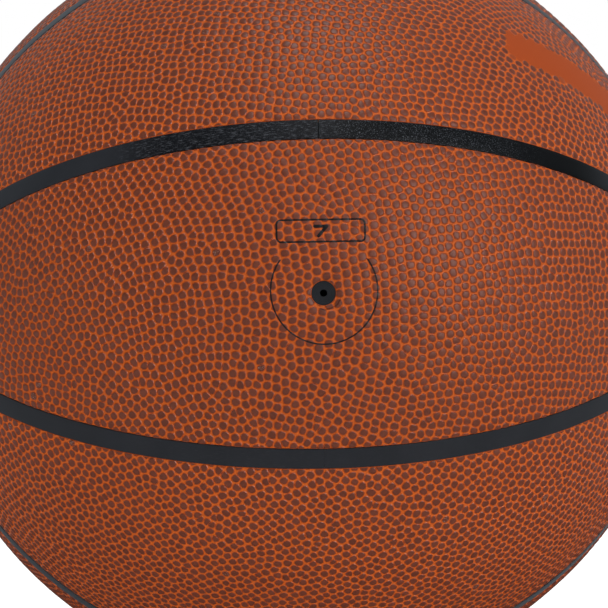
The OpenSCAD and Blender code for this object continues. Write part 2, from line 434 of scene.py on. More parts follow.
def valley_faces(net, chosen, corner_angle, ring, corner):
    """Triangles between each pebble's foot ring and the corners of its cell. Corners and ring points are
    merged by their angle round the pebble: each side of the cell takes the ring point nearest to its
    middle, and each side of the ring takes the corner between. The angles are measured from the ring's
    first point."""
    owner = np.full(net.max() + 1, -1)
    owner[chosen] = np.arange(len(chosen))
    cell, triangle = owner[net.ravel()], np.repeat(np.arange(len(net)), 3)
    used = cell >= 0
    cell, triangle = cell[used], triangle[used]
    angle = corner_angle(cell, triangle) % (2 * pi)
    order = np.lexsort((angle, cell))
    cell, triangle, angle = cell[order], triangle[order], angle[order]
    last = np.append(cell[1:] != cell[:-1], True)
    first = np.append(True, last[:-1])
    start = np.flatnonzero(first)[np.cumsum(first) - 1]
    end = np.flatnonzero(last)[np.cumsum(first) - 1]
    after = np.where(last, start, np.arange(len(cell)) + 1)
    before = np.where(first, end, np.arange(len(cell)) - 1)
    middle = (angle + angle[after] + 2 * pi * last) / 2
    turn = 2 * pi / PEBBLE_SIDES
    place = np.rint(middle / turn).astype(int)
    sides = triangles((ring(cell, place), spot(FOOT_PLACE, place * turn)),
                      (corner(triangle), spot(CORNER_PLACE, angle)),
                      (corner(triangle[after]), spot(CORNER_PLACE, angle[after])))
    begin = place[before] - PEBBLE_SIDES * first
    many = place - begin
    which = np.repeat(np.arange(len(cell)), many)
    step = np.arange(many.sum()) - np.repeat(np.cumsum(many) - many, many) + begin[which]
    fans = triangles((ring(cell[which], step), spot(FOOT_PLACE, step * turn)),
                     (corner(triangle[which]), spot(CORNER_PLACE, angle[which])),
                     (ring(cell[which], step + 1), spot(FOOT_PLACE, (step + 1) * turn)))
    faces, uv = (join(parts) for parts in zip(sides, fans))
    return faces, uv, join([cell, cell[which]])


def pebble_net(name, rng):
    """The pebbled face of one panel, before its edges are cut. Each pebble has a middle, the rim of its
    top and its foot, both rings of PEBBLE_SIDES points, and shares the corners of its cell with its
    neighbours. The uv of a face's corner is its place on a round pebble."""
    centre = panel_middle(name)
    sites = pebble_sites(name, centre, rng)
    net = delaunay(flat_map(sites, centre))
    chosen = np.flatnonzero(edge_distances(sites * BALL_R, name).min(0) > -PEBBLE_MARGIN)
    count = len(chosen)
    middle = sites[chosen]
    east, north = tangents(middle)
    phase = rng.uniform(0, 2 * pi, count)
    steps = np.arange(PEBBLE_SIDES) * 2 * pi / PEBBLE_SIDES
    angles = phase[:, None] + steps
    cell_r = ring_radii(sites, net, chosen, east, north, angles)
    rim_r = np.maximum(cell_r - VALLEY_TOP, LEAST_RIM * cell_r)
    foot_r = np.maximum(cell_r - VALLEY_FOOT, LEAST_FOOT * cell_r)
    outward = east[:, None] * np.cos(angles)[..., None] + north[:, None] * np.sin(angles)[..., None]
    rim, foot = (unit(middle[:, None] * BALL_R + outward * r[..., None]) for r in (rim_r, foot_r))
    corners = cell_corners(sites, net)
    slope = rng.normal(size=(count, 2)) * PEBBLE_TILT
    tilt = east * slope[:, :1] + north * slope[:, 1:]
    tilt_rise = (outward * tilt[:, None]).sum(2) * rim_r

    directions = join([middle, rim.reshape(-1, 3), foot.reshape(-1, 3), corners])
    flat = bare_share(middle * BALL_R, name)
    bare = join([flat, np.repeat(np.tile(flat, 2), PEBBLE_SIDES), bare_share(corners * BALL_R, name)])
    relief = join([np.zeros(count), (RIM_DROP - tilt_rise * TILT_SHARE).ravel(),
                   np.full(count * PEBBLE_SIDES, FOOT_DROP), np.full(len(corners), VALLEY_DROP)])
    leans = join([tilt, (outward * RIM_LEAN + tilt[:, None]).reshape(-1, 3),
                  (outward * FOOT_LEAN).reshape(-1, 3), np.zeros_like(corners)])

    def rim_point(cell, place):
        return count + cell * PEBBLE_SIDES + place % PEBBLE_SIDES

    def foot_point(cell, place):
        return rim_point(cell, place) + count * PEBBLE_SIDES

    def corner_point(triangle):
        return count * (1 + 2 * PEBBLE_SIDES) + triangle

    def corner_angle(cell, triangle):
        gap = corners[triangle] - middle[cell]
        return np.arctan2((gap * north[cell]).sum(1), (gap * east[cell]).sum(1)) - phase[cell]

    valley, valley_uv, valley_cell = valley_faces(net, chosen, corner_angle, foot_point, corner_point)
    cell = np.repeat(np.arange(count), PEBBLE_SIDES)
    place = np.tile(np.arange(PEBBLE_SIDES), count)
    here, there = steps[place], steps[place] + steps[1]
    rims = [(rim_point(cell, place), spot(RIM_PLACE, here)),
            (rim_point(cell, place + 1), spot(RIM_PLACE, there))]
    feet = [(foot_point(cell, place), spot(FOOT_PLACE, here)),
            (foot_point(cell, place + 1), spot(FOOT_PLACE, there))]
    faces, uv = zip(triangles((cell, spot(0, here)), *rims), triangles(rims[0], *feet),
                    triangles(rims[0], feet[1], rims[1]), (valley, valley_uv))
    tone = rng.uniform(0, 1, count)
    return SimpleNamespace(
        directions=directions, relief=relief, leans=leans, bare=bare,
        faces=join(faces), uv=join(uv),
        tone=tone[join([cell, cell, cell, valley_cell])],
    )


POINT_VALUES = ("directions", "leans", "relief", "bare")


def cut(net, distance):
    """Keeps the side of a net where distance is positive. A triangle that the line crosses is cut there:
    its crossed sides get new points by linear interpolation, and one or two triangles are left of it."""
    kept = distance[net.faces] > 0
    number = kept.sum(1)
    crossed = (number == 1) | (number == 2)
    odd = np.where(number == 1, kept.argmax(1), (~kept).argmax(1))[crossed]
    turn = (odd[:, None] + np.arange(3)) % 3
    faces = np.take_along_axis(net.faces[crossed], turn, 1)
    uv = np.take_along_axis(net.uv[crossed], turn[..., None], 1)
    tone, single = net.tone[crossed], number[crossed] == 1
    sides = join([faces[:, [0, 1]], faces[:, [0, 2]]])
    low, high = sides.min(1), sides.max(1)
    _, first, place = np.unique(low * len(distance) + high, return_index=True, return_inverse=True)
    low, high = low[first], high[first]
    share = distance[low] / (distance[low] - distance[high])
    values = {}
    for key in POINT_VALUES:
        held = getattr(net, key)
        part = share if held.ndim == 1 else share[:, None]
        values[key] = join([held, held[low] * (1 - part) + held[high] * part])
    d = distance[faces]
    a, b, c = ((faces[:, k], uv[:, k]) for k in range(3))
    cuts = []
    for k, added in ((1, place[:len(faces)]), (2, place[len(faces):])):
        along = (d[:, 0] / (d[:, 0] - d[:, k]))[:, None]
        cuts.append((len(distance) + added, uv[:, 0] + (uv[:, k] - uv[:, 0]) * along))
    near, far = cuts
    tips = [part[single] for part in triangles(a, near, far)]
    stumps = [part[~single] for part in triangles(near, b, c)]
    wedges = [part[~single] for part in triangles(near, c, far)]
    whole = number == 3
    parts = zip((net.faces[whole], net.uv[whole]), tips, stumps, wedges)
    faces, uv = (join(part) for part in parts)
    tone = join([net.tone[whole], tone[single], tone[~single], tone[~single]])
    return compact(SimpleNamespace(**values, faces=faces, uv=uv, tone=tone))


def compact(net):
    """Drops the points that no face uses."""
    used, faces = np.unique(net.faces, return_inverse=True)
    net.faces = faces.reshape(-1, 3)
    for key in POINT_VALUES:
        setattr(net, key, getattr(net, key)[used])
    return net


def boundary(faces):
    """Sides that belong to one triangle only, in its direction, so that the net lies to their left."""
    sides = face_sides(faces)
    size = faces.max() + 1
    single = ~np.isin(sides[:, 0] * size + sides[:, 1], sides[:, 1] * size + sides[:, 0])
    return sides[single]


def bake_map(name, points, faces, lining):
    """Places of the faces' corners on the panel's bake map. It is the equal-area map: the longitude times
    the radius one way, and the angle round the X axis times the longitude's cosine and the radius the
    other way. The right half of the panel has the lower half of the map, and the left half is mirrored
    into the upper one. The inner face, which is the last faces, is laid small above them."""
    _, front, high = PANELS[name]
    seam = to_seams(unit(points)) * (1, front, high)
    longitude = np.arcsin(np.clip(seam[:, 0], -1, 1))
    angle = np.arctan2(seam[:, 2], -seam[:, 1]) - middle_angle(name)
    flat = stack([longitude, angle * np.cos(longitude)], 1)[faces] * BALL_R
    left = flat[..., 0].mean(1) < 0
    places = flat * MAP_SCALE + MAP_RIGHT
    places[left] = flat[left] * (-MAP_SCALE, MAP_SCALE) + MAP_LEFT
    places[-lining:] = flat[-lining:] * MAP_LINING_SCALE + MAP_LINING
    return places


def panel_mesh(name, seed):
    """A panel as a closed solid: the pebbled face, a rolled edge and side wall round it and round the
    valve's hole, and a plain inner face."""
    net = pebble_net(name, np.random.default_rng(seed))
    for k in range(len(edge_distances(net.directions[:1] * BALL_R, name))):
        net = cut(net, edge_distances(net.directions * BALL_R, name)[k] - EDGE_ROLL)
    directions, bare = unit(net.directions), net.bare
    points = directions * BALL_R
    normals = directions + net.leans * (1 - bare)[:, None]
    for way in tangents(directions):
        fall = cover_drop(points + way * PROBE, name) - cover_drop(points - way * PROBE, name)
        normals += way * (fall / (2 * PROBE))[:, None]
    radius = BALL_R - cover_drop(points, name) - (net.relief * (1 - bare) + BARE_DROP * bare)
    face_points = directions * radius[:, None]

    # Points, normals, bareness and points for the bake map, of the face, the wall's rows and the inner face
    parts = [(face_points, unit(normals), bare, face_points)]
    rim, place = np.unique(boundary(net.faces), return_inverse=True)
    place = place.reshape(-1, 2)
    out = way_out(points[rim], name)
    upper, wall = rim[place], []
    for row, (step, depth, lean) in enumerate(WALL_ROWS):
        level = np.full(len(rim), COVER_IN) if depth is None else radius[rim] - depth
        ring = unit(points[rim] + out * step) * level[:, None]
        laid = ring + out * (step + (radius[rim] - level))[:, None]
        parts.append((ring, unit(directions[rim] + out * lean), np.ones(len(rim)), laid))
        start = len(points) + row * len(rim)
        lower = place + start
        wall += [stack([upper[:, 0], lower[:, 0], lower[:, 1]], 1),
                 stack([upper[:, 0], lower[:, 1], upper[:, 1]], 1)]
        upper = lower
    lining, inside = inner_face(name, ring, place)
    parts.append((inside, -unit(inside), np.ones(len(inside)), inside))
    all_points, all_normals, all_bare, laid = (join(column) for column in zip(*parts))
    faces = join([net.faces, *wall, lining + start])
    plain = len(faces) - len(net.faces)
    return SimpleNamespace(
        points=all_points, normals=all_normals, bare=all_bare, faces=faces,
        bake_uv=bake_map(name, laid, faces, len(lining)),
        uv=join([net.uv, np.full((plain, 3, 2), WALL_PLACE)]),
        tone=join([net.tone, np.full(plain, WALL_TONE)]),
    )


def way_out(points, name):
    """Unit vectors along the surface away from the panel: square to the nearest edge, or to both at a
    corner."""
    east, north = tangents(unit(points))
    away = edge_distances(points, name)
    near = away < away.min(0) + NEARLY
    rise = [(edge_distances(points + way * PROBE, name) - edge_distances(points - way * PROBE, name)) * near
            for way in (east, north)]
    return -unit(rise[0].sum(0)[:, None] * east + rise[1].sum(0)[:, None] * north)


def inner_face(name, rim_points, sides):
    """The inner face: a Delaunay net of the rim and of a lattice inside it, looking inwards."""
    lattice = fibonacci(LINING_PITCH ** 2)
    lattice = lattice[edge_distances(lattice * BALL_R, name).min(0) > LINING_MARGIN]
    ways = join([unit(rim_points), lattice])
    faces = delaunay(flat_map(ways, panel_middle(name)), [tuple(side) for side in sides.tolist()])
    middle = unit(ways[faces].mean(1)) * BALL_R
    faces = faces[edge_distances(middle, name).min(0) > NEARLY]
    return faces[:, ::-1], lattice * COVER_IN


def add_object(name, data):
    made = bpy.data.objects.new(name, data)
    bpy.context.collection.objects.link(made)
    return made


def fill(items, key, values, kind=np.float32):
    items.foreach_set(key, np.ascontiguousarray(values, kind).ravel())


def new_mesh(name, points, faces, uvs=None, normals=None):
    """A mesh object from arrays. uvs holds maps by name, each with a place for each corner of each face.
    normals has one for each point, or one for each corner of each face."""
    mesh = bpy.data.meshes.new(name)
    sides = faces.shape[1]
    mesh.vertices.add(len(points))
    fill(mesh.vertices, "co", points)
    mesh.loops.add(faces.size)
    fill(mesh.loops, "vertex_index", faces, np.int32)
    mesh.polygons.add(len(faces))
    fill(mesh.polygons, "loop_start", np.arange(0, faces.size, sides), np.int32)
    fill(mesh.polygons, "loop_total", np.full(len(faces), sides), np.int32)
    for key, places in (uvs or {}).items():
        fill(mesh.uv_layers.new(name=key).data, "uv", places)
    mesh.update(calc_edges=True)
    fill(mesh.polygons, "use_smooth", np.ones(len(faces)), bool)
    if normals is not None and normals.ndim == 2:
        mesh.normals_split_custom_set_from_vertices(normals.tolist())
    elif normals is not None:
        mesh.normals_split_custom_set(normals.reshape(-1, 3).tolist())
    return add_object(name, mesh)


def dress(piece, node, material):
    piece.data.materials.append(material)
    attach(piece, "root")
    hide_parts(node)


class Value:
    """A socket of a material that Python's operators work on. Each operation adds one Math node."""

    def __init__(self, sheet, socket):
        self.sheet, self.socket = sheet, socket

    def math(self, operation, *others):
        return self.sheet.node("Math", enumerate((self, *others)), operation=operation)

    __abs__ = partialmethod(math, "ABSOLUTE")
    __add__ = __radd__ = partialmethod(math, "ADD")
    __sub__ = partialmethod(math, "SUBTRACT")
    __mul__ = __rmul__ = partialmethod(math, "MULTIPLY")
    __truediv__ = partialmethod(math, "DIVIDE")
    __gt__ = partialmethod(math, "GREATER_THAN")
    at_least = partialmethod(math, "MAXIMUM")
    at_most = partialmethod(math, "MINIMUM")

    def __rsub__(self, other):
        return self * -1 + other


class Sheet:
    """The node tree of one material, or of the world."""

    def __init__(self, name, store=None):
        self.owner = (bpy.data.materials if store is None else store).new(name)
        self.owner.use_nodes = True
        self.tree = self.owner.node_tree
        self.tree.nodes.clear()

    def node(self, kind, values=(), output=0, **settings):
        """Adds a node: its settings first, then the values or links of its sockets, by name or number."""
        made = self.tree.nodes.new("ShaderNode" + kind)
        for key, setting in settings.items():
            setattr(made, key, setting)
        for key, value in dict(values).items():
            if isinstance(value, Value):
                self.tree.links.new(value.socket, made.inputs[key])
            else:
                made.inputs[key].default_value = value
        return Value(self, made.outputs[output])

    def place(self):
        return self.node("TexCoord", output="Object")

    def axes(self, place):
        """The place's X, Y and Z."""
        parts = self.tree.nodes.new("ShaderNodeSeparateXYZ")
        self.tree.links.new(place.socket, parts.inputs[0])
        return [Value(self, socket) for socket in parts.outputs]

    def noise(self, place, size, detail=2.0, rough=0.5):
        """Noise whose lumps are about size long."""
        values = {"Vector": place, "Scale": 1 / size, "Detail": detail, "Roughness": rough}
        return self.node("TexNoise", values, "Fac")

    def ease(self, value, low, high, to_low=0.0, to_high=1.0):
        """Smooth step from to_low to to_high as value goes from low to high."""
        values = {"Value": value, "From Min": low, "From Max": high, "To Min": to_low, "To Max": to_high}
        return self.node("MapRange", values, interpolation_type="SMOOTHSTEP")

    def fall(self, value, low, high):
        return self.ease(value, low, high, 1.0, 0.0)

    def mix(self, share, a, b):
        """Colour a where share is 0 and b where it is 1. Each is a socket or three sRGB levels."""
        a, b = (colour(*tone) if isinstance(tone, tuple) else tone for tone in (a, b))
        return self.node("Mix", {0: share, 6: a, 7: b}, 2, data_type="RGBA")

    def bump(self, height, depth, strength=1.0, under=None):
        values = {"Height": height, "Distance": depth, "Strength": strength}
        if under is not None:
            values["Normal"] = under
        return self.node("Bump", values)

    def glow(self, strength):
        return self.node("Emission", {"Color": (1, 1, 1, 1), "Strength": strength})

    def rays(self, kind):
        return self.node("LightPath", output="Is %s Ray" % kind)

    def finish(self, **sockets):
        values = {key.replace("_", " "): value for key, value in sockets.items()}
        return self.end(self.node("BsdfPrincipled", values))

    def end(self, surface, kind="Material"):
        made = self.tree.nodes.new("ShaderNodeOutput" + kind)
        self.tree.links.new(surface.socket, made.inputs["Surface"])
        return self.owner


def colour(red, green, blue):
    """Linear colour of the given sRGB levels, from 0 to 255."""
    levels = np.array([red, green, blue]) / 255
    linear = np.where(levels <= 0.04045, levels / 12.92, ((levels + 0.055) / 1.055) ** 2.4)
    return (*linear.tolist(), 1.0)


def cover_leather(printed):
    """Composite leather: brown tops on orange valleys, with a soft sheen, a fine grain and painted shade
    round each pebble's foot, and on the printed panel in its crease.
    """
    sheet = Sheet("cover_leather_printed" if printed else "cover_leather")
    place = sheet.place()
    pebble = sheet.node("UVMap", uv_map="Pebble")
    off = sheet.node("VectorMath", {0: pebble}, "Value", operation="LENGTH")
    tone = sheet.node("Attribute", output="Fac", attribute_name="tone")
    bare = sheet.node("Attribute", output="Fac", attribute_name="bare")
    cloud = sheet.noise(place, 30 * MM, 2.0)
    mottle = sheet.noise(place, 1.1 * MM, 3.0)
    grain = sheet.noise(place, 0.16 * MM, 3.0, 0.6)
    ragged = off + (sheet.noise(place, 0.4 * MM, 2.0) - 0.5) * 0.06
    top = sheet.fall(ragged, *TOP_ENDS) * (1 - bare)
    # Where the valleys get painted shade: round each pebble's foot, fading out into the valley.
    foot = sheet.fall(off, *SHADE_ENDS) * (1 - bare)
    bright, dull = ((192, 83, 4), (183, 79, 3)) if printed else ((200, 88, 7), (190, 83, 5))
    orange = sheet.mix(cloud, bright, dull)
    orange = sheet.mix(sheet.ease(mottle, 0.35, 0.7) * 0.3, orange, (216, 100, 24))
    # Painted shade: the valleys' orange darkens round each pebble's foot.
    orange = sheet.mix(foot * 0.75, orange, (144, 52, 8))
    orange = sheet.mix(bare * 0.9, orange, (161, 62, 0))
    brown = sheet.mix(tone, (109, 55, 38), (98, 48, 32))
    brown = sheet.mix(sheet.ease(mottle, 0.3, 0.75) * 0.4, brown, (119, 63, 46))
    flecks = sheet.ease(sheet.noise(place, 0.3 * MM, 2.0, 0.7), 0.58, 0.64) * (tone > UNFLECKED)
    brown = sheet.mix(flecks * 0.5, brown, (190, 176, 170))
    base = sheet.mix(top, orange, brown)
    if printed:
        crease_and_shade = fold_mask(sheet, place)
        # Painted shade: the crease also darkens the leather's colour, besides bending its normal.
        base = sheet.mix(crease_and_shade * 0.3, base, (70, 26, 8))
        broken = sheet.ease(grain, 0.32, 0.42, 0.8, 1.0)
        base = sheet.mix(print_mask(sheet, place) * broken, base, (20, 21, 24))
    rough = sheet.ease(grain, 0.3, 0.7, 0.34, 0.42) + (1 - top) * 0.2
    shine = sheet.ease(off, *SHINE_RISES) * sheet.fall(off, *SHINE_ENDS) * (1 - bare)
    under = sheet.bump(grain, 0.02 * MM, 0.5)
    normal = sheet.bump(mottle, 0.05 * MM, 0.5, under)
    if printed:
        normal = sheet.bump(1 - crease_and_shade, FOLD_DEPTH, 1.0, normal)
    return sheet.finish(Base_Color=base, Roughness=rough, Normal=normal, Specular_IOR_Level=LEATHER_GLOSS,
                        Coat_Weight=shine * 0.7, Coat_Roughness=0.18)


def fold_mask(sheet, place):
    """Where the leather has a crease: an arc below the valve, deepest in its middle."""
    x, _, z = sheet.axes(place)
    off = hypotenuse(x, z)
    ragged = off + (sheet.noise(place, FOLD_WANDER_L, 2.0) - 0.5) * FOLD_WANDER
    below = (x * cos(FOLD_WAY) + z * sin(FOLD_WAY)) / off
    return sheet.fall(abs(ragged - FOLD_R), 0, FOLD_HALF_W) * sheet.ease(below, *FOLD_BEGINS)


def print_mask(sheet, place):
    """Where ink lies: the ring round the valve, open at its top, and the frame with its numeral."""
    x, _, z = sheet.axes(place)

    def line(off, width):
        return sheet.fall(off, width / 2 - PRINT_EDGE, width / 2 + PRINT_EDGE)

    ring_x, ring_z = PRINT_RING_MIDDLE
    off_ring = abs(hypotenuse(x - ring_x, z - ring_z) - PRINT_RING_R)
    closed = sheet.fall(z, PRINT_RING_OPEN, PRINT_RING_OPEN + PRINT_RING_FADE)
    ring = line(off_ring, PRINT_RING_LINE) * closed
    frame_x, frame_z = PRINT_FRAME_MIDDLE
    past_x = (abs(x - frame_x) - (PRINT_FRAME_HALF[0] - PRINT_FRAME_CORNER)).at_least(0)
    past_z = (abs(z - frame_z) - (PRINT_FRAME_HALF[1] - PRINT_FRAME_CORNER)).at_least(0)
    border = line(abs(hypotenuse(past_x, past_z) - PRINT_FRAME_CORNER), PRINT_LINE)
    mask = ring.at_least(border)
    for start, end in zip(PRINT_SEVEN, PRINT_SEVEN[1:]):
        run_x, run_z = end[0] - start[0], end[1] - start[1]
        from_x, from_z = x - frame_x - start[0], z - frame_z - start[1]
        share = ((from_x * run_x + from_z * run_z) * (1 / (run_x ** 2 + run_z ** 2))).at_least(0).at_most(1)
        off = hypotenuse(from_x - share * run_x, from_z - share * run_z)
        mask = mask.at_least(line(off, PRINT_SEVEN_W))
    return mask


def hypotenuse(a, b):
    return (a * a + b * b).math("SQRT")


def seam_rubber(name, worn):
    """Black rubber strip with a pale grain, stronger the more it is worn. Left of its butt joint the
    grain is streaks along the strip, and right of it fine specks. The Along map has metres along and
    across the strip."""
    sheet = Sheet(name)
    along = sheet.node("UVMap", uv_map="Along")
    drawn = sheet.node("Mapping", {"Vector": along, "Scale": (1 / STREAK_L, 1 / STREAK_W, 1)})
    streaks = sheet.noise(drawn, 1.0, 3.0, 0.65)
    specks = sheet.noise(sheet.place(), SPECK_SIZE, 2.0, 0.65)
    cloud = sheet.noise(sheet.place(), 12 * MM, 2.0)
    plain = sheet.mix(cloud, (38, 40, 44), (46, 48, 53))
    x = sheet.axes(sheet.place())[0]
    left = sheet.fall(x, *SPECKS_BEGIN)
    dark = sheet.mix(left, (10, 11, 13), sheet.mix(cloud, (14, 15, 18), (21, 22, 26)))
    rubbed = (sheet.ease(x, STREAKS_END - STREAKS_FADE, STREAKS_END, 0, worn)
              * sheet.fall(x, RUBBED_END - RUBBED_FADE, RUBBED_END))
    grainy = rubbed * sheet.fall(x, SPECKS_END - SPECKS_FADE, SPECKS_END)
    dark = sheet.mix(rubbed, plain, dark)
    marked = (sheet.ease(streaks, 0.52, 0.7) * (left * 0.42 + 0.06)
              + sheet.ease(specks, 0.58, 0.67) * (0.66 - left * 0.44)) * grainy
    base = sheet.mix(marked, dark, (116, 120, 128))
    rough = sheet.ease(cloud, 0.3, 0.7, 0.46 - 0.16 * worn, 0.54 - 0.16 * worn)
    normal = sheet.bump(specks, 0.03 * MM, 0.5 * worn, sheet.bump(streaks, 0.03 * MM, 0.5 * worn))
    return sheet.finish(Base_Color=base, Roughness=rough, Normal=normal, Specular_IOR_Level=RUBBER_GLOSS,
                        Sheen_Weight=0.2, Sheen_Roughness=0.35, Sheen_Tint=(0.7, 0.88, 1, 1))


def plain_rubber(name, dark, light, lump):
    """Moulded rubber: two close tones, a fine grain and a slow change of gloss."""
    sheet = Sheet(name)
    cloud = sheet.noise(sheet.place(), lump, 3.0)
    grain = sheet.noise(sheet.place(), 0.2 * MM, 3.0, 0.6)
    base = sheet.mix(cloud, dark, light)
    rough = sheet.ease(cloud, 0.3, 0.7, 0.5, 0.66)
    normal = sheet.bump(grain, 0.02 * MM, 0.5)
    return sheet.finish(Base_Color=base, Roughness=rough, Normal=normal, Specular_IOR_Level=RUBBER_GLOSS)


def sponge():
    """Pale latex sponge of open cell foam, painted darker in each cell's hollow as shade."""
    sheet = Sheet("pad_sponge")
    hollows_and_shade = sheet.node("TexVoronoi", {"Vector": sheet.place(), "Scale": 1 / (0.5 * MM)}, "Distance")
    cloud = sheet.noise(sheet.place(), 15 * MM, 3.0)
    # Painted shade: the colour darkens in each cell's hollow, where the bump sinks.
    base = sheet.mix(hollows_and_shade, (196, 176, 132), (232, 214, 172))
    base = sheet.mix(cloud * 0.3, base, (214, 190, 140))
    return sheet.finish(Base_Color=base, Roughness=0.92, Normal=sheet.bump(hollows_and_shade, 0.15 * MM, 0.7))


def wound_thread():
    """Ivory thread in three crossing directions, its strands as waves across space, painted darker between
    the strands as shade.
    """
    sheet = Sheet("winding_thread")
    place = sheet.place()
    height = None
    for turn in ((0.3, 0.2, 0.9), (1.4, 0.9, 0.1), (0.8, 1.9, 1.2)):
        laid = sheet.node("Mapping", {"Vector": place, "Rotation": turn})
        values = {"Vector": laid, "Scale": WAVE_PERIOD / THREAD_PITCH, "Distortion": 1.5, "Detail": 1.0}
        strands = sheet.node("TexWave", values, "Fac", bands_direction="X")
        height = strands if height is None else height.at_least(strands)
    # Painted shade: the colour darkens where the strands lie low, between them.
    base = sheet.mix(height, (150, 138, 110), (232, 224, 202))
    return sheet.finish(Base_Color=base, Roughness=0.7, Normal=sheet.bump(height, 0.2 * MM, 0.8))


def closed_grid(rows, sides):
    """Triangles between the rows of a tube, whose sides close round."""
    row = np.arange(rows - 1)[:, None] * sides
    side = np.arange(sides)[None]
    after = (side + 1) % sides
    near = stack([row + side, row + after, row + after + sides], 2)
    far = stack([row + side, row + after + sides, row + side + sides], 2)
    return join([near.reshape(-1, 3), far.reshape(-1, 3)])


def outward(points, faces):
    """The faces, turned round if the solid that they close has a negative volume."""
    a, b, c = points[faces.T]
    return faces if (a * np.cross(b, c)).sum() > 0 else faces[:, ::-1]


def strip_profile():
    """Section of a seam strip as (place across, radius) pairs: square feet, rounded shoulders and a
    slight crown."""
    half, shoulder, crown = SEAM_W / 2, 0.14 * MM, 0.04 * MM
    turn = np.linspace(0, pi / 2, STRIP_PROFILE_STEPS)
    across = join([[half], half - shoulder * (1 - np.cos(turn)), [half / 2, 0]])
    level = join([[STRIP_IN], STRIP_OUT - crown - shoulder * (1 - np.sin(turn)),
                  [STRIP_OUT - crown / 4, STRIP_OUT]])
    return join([stack([across, level], 1), stack([-across, level], 1)[-2::-1]])


def strip_mesh(centre, side):
    """Carries the strip's section along a seam: a section point at place w and radius r stands at
    side * w + centre * sqrt(r^2 - w^2). Flat fans close the ends. Gives points, faces, normals and map."""
    section = strip_profile()
    across, level = section.T
    points = side[:, None] * across[:, None] + centre[:, None] * np.sqrt(level ** 2 - across ** 2)[:, None]
    before, after = np.roll(section, 1, 0), np.roll(section, -1, 0)
    bend = unit(unit(after - section) + unit(section - before)) @ np.array([[0, 1], [-1, 0]])
    normals = side[:, None] * bend[:, :1] + centre[:, None] * bend[:, 1:]
    rows, sides = len(centre), len(section)
    points, normals = from_seams(points.reshape(-1, 3)), from_seams(normals.reshape(-1, 3))
    core = from_seams(centre).repeat(sides, 0) * (STRIP_IN + STRIP_OUT) / 2
    inwards = ((points - core) * normals).sum() < 0
    tube = closed_grid(rows, sides)
    fan = stack([np.zeros(sides - 2, int), np.arange(1, sides - 1), np.arange(2, sides)], 1)
    faces = outward(points, join([tube, fan[:, ::-1], fan + (rows - 1) * sides]))
    smooth = (-normals if inwards else normals)[faces[:len(tube)]]
    away = from_seams(stack([centre[0] - centre[1], centre[-1] - centre[-2]]))
    flat = np.repeat(unit(away), len(fan), 0)[:, None] + np.zeros((1, 3, 1))
    length = np.append(0, np.cumsum(np.linalg.norm(np.diff(centre, axis=0), axis=1))) * BALL_R
    girth = np.append(0, np.cumsum(np.linalg.norm(np.diff(section, axis=0), axis=1)))
    walk = stack(np.broadcast_arrays(length[:, None], girth[None]), 2).reshape(-1, 2)
    return points, faces, join([smooth, flat]), walk[faces]


def great_circle(start, end, at):
    """Steps of about SEAM_STEP along a great circle: the direction at each angle from start to end."""
    return at(np.linspace(start, end, max(4, round(abs(end - start) / SEAM_STEP))))


def ring_seam():
    """The ring seam, from its butt joint at the front round to the joint again."""
    half_gap = RING_GAP / 2 / BALL_R
    centre = great_circle(half_gap, 2 * pi - half_gap, lambda a: stack([np.sin(a), -np.cos(a), 0 * a], 1))
    return centre, np.broadcast_to([0, 0, 1.0], centre.shape)


def loop_seam():
    """The upper loop seam, from its butt joint in the middle of the front run. A run is the great circle
    through the seam crossings, tilted by CROSS_ANGLE, and a turn is the small circle of radius TURN_R
    about its middle."""
    tilt = np.array([-sin(CROSS_ANGLE), cos(CROSS_ANGLE)])
    half_gap = LOOP_GAP / 2 / BALL_R
    run_angles = np.linspace(pi / 2 - half_gap, TURN_START, RUN_STEPS)
    run = stack([np.cos(run_angles), np.sin(run_angles) * tilt[0], np.sin(run_angles) * tilt[1]], 1)
    run_side = np.broadcast_to([0, -cos(CROSS_ANGLE), -sin(CROSS_ANGLE)], run.shape)
    middle = np.array([cos(TURN_CENTRE), 0, sin(TURN_CENTRE)])
    down = np.array([sin(TURN_CENTRE), 0, -cos(TURN_CENTRE)])
    reach = atan2(-run[-1, 1], run[-1] @ down)
    turn_angles = np.linspace(-reach, reach, TURN_STEPS)[1:-1, None]
    turn = (middle * cos(TURN_R)
            + (down * np.cos(turn_angles) + np.array([0, 1.0, 0]) * np.sin(turn_angles)) * sin(TURN_R))
    turn_side = (turn * cos(TURN_R) - middle) / sin(TURN_R)
    back, back_side = run[::-1] * (1, -1, 1), run_side[::-1] * (1, -1, 1)
    right = join([run, turn, back])
    right_side = join([run_side, turn_side, back_side])
    return join([right, right[1:] * (-1, -1, 1)]), join([right_side, right_side[1:] * (-1, -1, 1)])


def cross_seam(start, end):
    """Part of the cross seam, from one angle above the +X crossing to another."""
    centre = great_circle(start, end, lambda a: stack([np.cos(a), 0 * a, np.sin(a)], 1))
    return centre, np.broadcast_to([0, 1.0, 0], centre.shape)


def add_strip(node, path, flip, material):
    centre, side = path
    points, faces, normals, walk = strip_mesh(centre * flip, side * flip)
    piece = new_mesh(node.replace("strip", "seam"), points, faces, {"Along": walk}, normals)
    dress(piece, node, material)


def lathe(name, profile, steps):
    """Turns a profile of (radius, height) pairs about the valve's axis:
    (radius cos a, -height, radius sin a). The profile starts and ends on the axis."""
    angle = np.arange(steps) * 2 * pi / steps
    radius, height = profile[1:-1].T
    ring = stack(np.broadcast_arrays(radius[:, None] * np.cos(angle), -height[:, None],
                                     radius[:, None] * np.sin(angle)), 2).reshape(-1, 3)
    poles = np.array([[0, -profile[0, 1], 0], [0, -profile[-1, 1], 0]])
    points = join([ring, poles])
    tube = closed_grid(len(radius), steps)
    side = np.arange(steps)
    after = (side + 1) % steps
    first, last = len(ring), len(ring) + 1
    top = (len(radius) - 1) * steps
    caps = join([stack([np.full(steps, first), after, side], 1),
                 stack([np.full(steps, last), side + top, after + top], 1)])
    return new_mesh(name, points, outward(points, join([tube, caps])))


